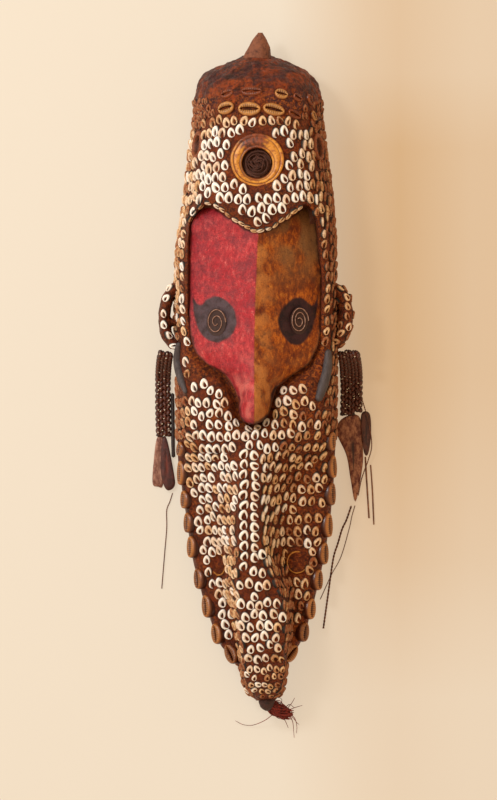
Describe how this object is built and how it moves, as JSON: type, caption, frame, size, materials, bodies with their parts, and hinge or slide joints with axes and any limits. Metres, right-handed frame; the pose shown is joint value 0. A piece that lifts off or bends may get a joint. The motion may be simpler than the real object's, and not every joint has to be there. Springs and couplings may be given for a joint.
{
  "type": "carved shell-covered mask",
  "caption": "Long carved wooden mask with a beak nose, red and ochre face, coil eyes, shell-set paste covering, cowrie edge and braided pendants.",
  "frame": {"origin": "centre of the bounding box in plan, at the level of the back rim, which lies on the floor", "axes": "+Z out of the mask's front, +Y towards the crown, +X to the right as the face is looked at"},
  "size_m": [0.2062, 0.6352, 0.113],
  "materials": {
    "carved_wood": "matt earth paint, red on the left half and ochre brown on the right",
    "dark_paste": "matt dark brown paste of clay and nut, set with small shells",
    "cone_shell": "smooth ochre-stained shell",
    "coil_strip": "dry dark strip",
    "eye_strip": "dry pinkish brown strip",
    "tusk_grey": "matt dark grey",
    "cowrie_shell": "glossy shell stained ochre",
    "red_fibre": "dry fibre dyed red",
    "plant_fibre": "dark plaited plant fibre",
    "pod_skin": "dry seed pod skin"
  },
  "bodies": {
    "root": {"wooden_mask": "carved_wood", "paste_covering": "dark_paste", "ear_left": "dark_paste", "ear_right": "dark_paste", "forehead_shell_disc": "cone_shell", "forehead_coil": "coil_strip", "temple_ring_left": "coil_strip", "temple_ring_right": "coil_strip", "snout_ring_left": "cone_shell", "snout_ring_right": "cone_shell", "eye_coil_left": "eye_strip", "eye_coil_right": "eye_strip", "tusk_left": "tusk_grey", "tusk_right": "tusk_grey", "chin_tuft": "red_fibre", "brow_cowrie_1": "cowrie_shell", "brow_cowrie_2": "cowrie_shell", "brow_cowrie_3": "cowrie_shell", "brow_cowrie_4": "cowrie_shell", "brow_cowrie_5": "cowrie_shell", "brow_cowrie_6": "cowrie_shell", "brow_cowrie_7": "cowrie_shell", "brow_cowrie_8": "cowrie_shell", "brow_cowrie_9": "cowrie_shell", "brow_cowrie_10": "cowrie_shell", "edge_cowrie_left_1": "cowrie_shell", "edge_cowrie_left_2": "cowrie_shell", "edge_cowrie_left_3": "cowrie_shell", "edge_cowrie_left_4": "cowrie_shell", "edge_cowrie_left_5": "cowrie_shell", "edge_cowrie_left_6": "cowrie_shell", "edge_cowrie_left_7": "cowrie_shell", "edge_cowrie_left_8": "cowrie_shell", "edge_cowrie_left_9": "cowrie_shell", "edge_cowrie_right_1": "cowrie_shell", "edge_cowrie_right_2": "cowrie_shell", "edge_cowrie_right_3": "cowrie_shell", "edge_cowrie_right_4": "cowrie_shell", "edge_cowrie_right_5": "cowrie_shell", "edge_cowrie_right_6": "cowrie_shell", "edge_cowrie_right_7": "cowrie_shell", "edge_cowrie_right_8": "cowrie_shell", "edge_cowrie_right_9": "cowrie_shell", "braid_left_outer": "plant_fibre", "braid_left_inner": "plant_fibre", "braid_right_inner": "plant_fibre", "braid_right_middle": "plant_fibre", "braid_right_outer": "plant_fibre", "strap_left": "plant_fibre", "string_left": "plant_fibre", "string_right_loop": "plant_fibre", "string_right_long": "plant_fibre", "string_right_thin": "plant_fibre", "stick_right_inner": "plant_fibre", "stick_right_outer": "plant_fibre", "pod_left_light": "pod_skin", "pod_left_dark": "pod_skin", "pod_right_mottled": "pod_skin", "pod_right_dark": "pod_skin"}
  },
  "joints": []
}
